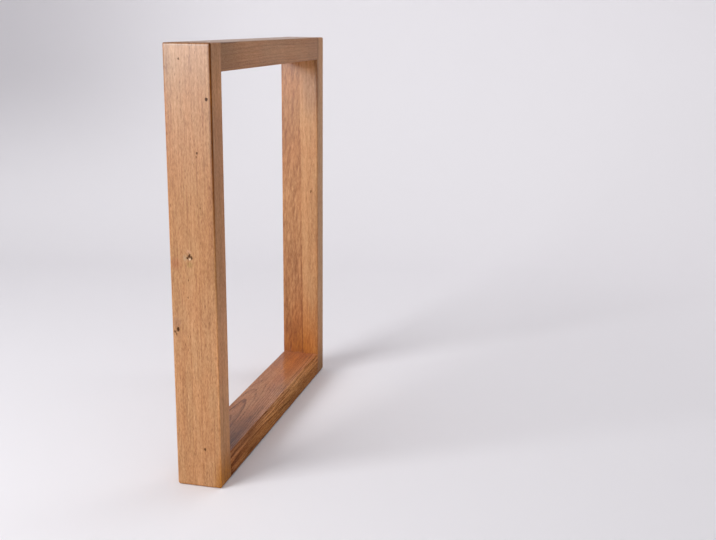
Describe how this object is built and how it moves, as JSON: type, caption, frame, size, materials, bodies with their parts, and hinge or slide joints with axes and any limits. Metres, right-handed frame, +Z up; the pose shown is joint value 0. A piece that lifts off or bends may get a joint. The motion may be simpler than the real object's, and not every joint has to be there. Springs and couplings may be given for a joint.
{
  "type": "wooden table leg",
  "caption": "Closed rectangular loop table leg of solid hardwood boards, with dowelled butt joints and counterbored screw holes and slots through its top rail.",
  "frame": {"origin": "centre of the footprint, on the floor", "axes": "+Z up, +Y along the rails from the front post to the rear post, +X across the width of the boards"},
  "size_m": [0.077, 0.616, 0.72],
  "materials": {
    "hardwood": "clear satin lacquer over warm tan hardwood",
    "dowel_wood": "bare, fluted"
  },
  "bodies": {
    "root": {"front_post": "hardwood", "rear_post": "hardwood", "top_rail": "hardwood", "bottom_rail": "hardwood", "dowel_front_top_left": "dowel_wood", "dowel_front_top_right": "dowel_wood", "dowel_front_bottom_left": "dowel_wood", "dowel_front_bottom_right": "dowel_wood", "dowel_rear_top_left": "dowel_wood", "dowel_rear_top_right": "dowel_wood", "dowel_rear_bottom_left": "dowel_wood", "dowel_rear_bottom_right": "dowel_wood"}
  },
  "joints": []
}
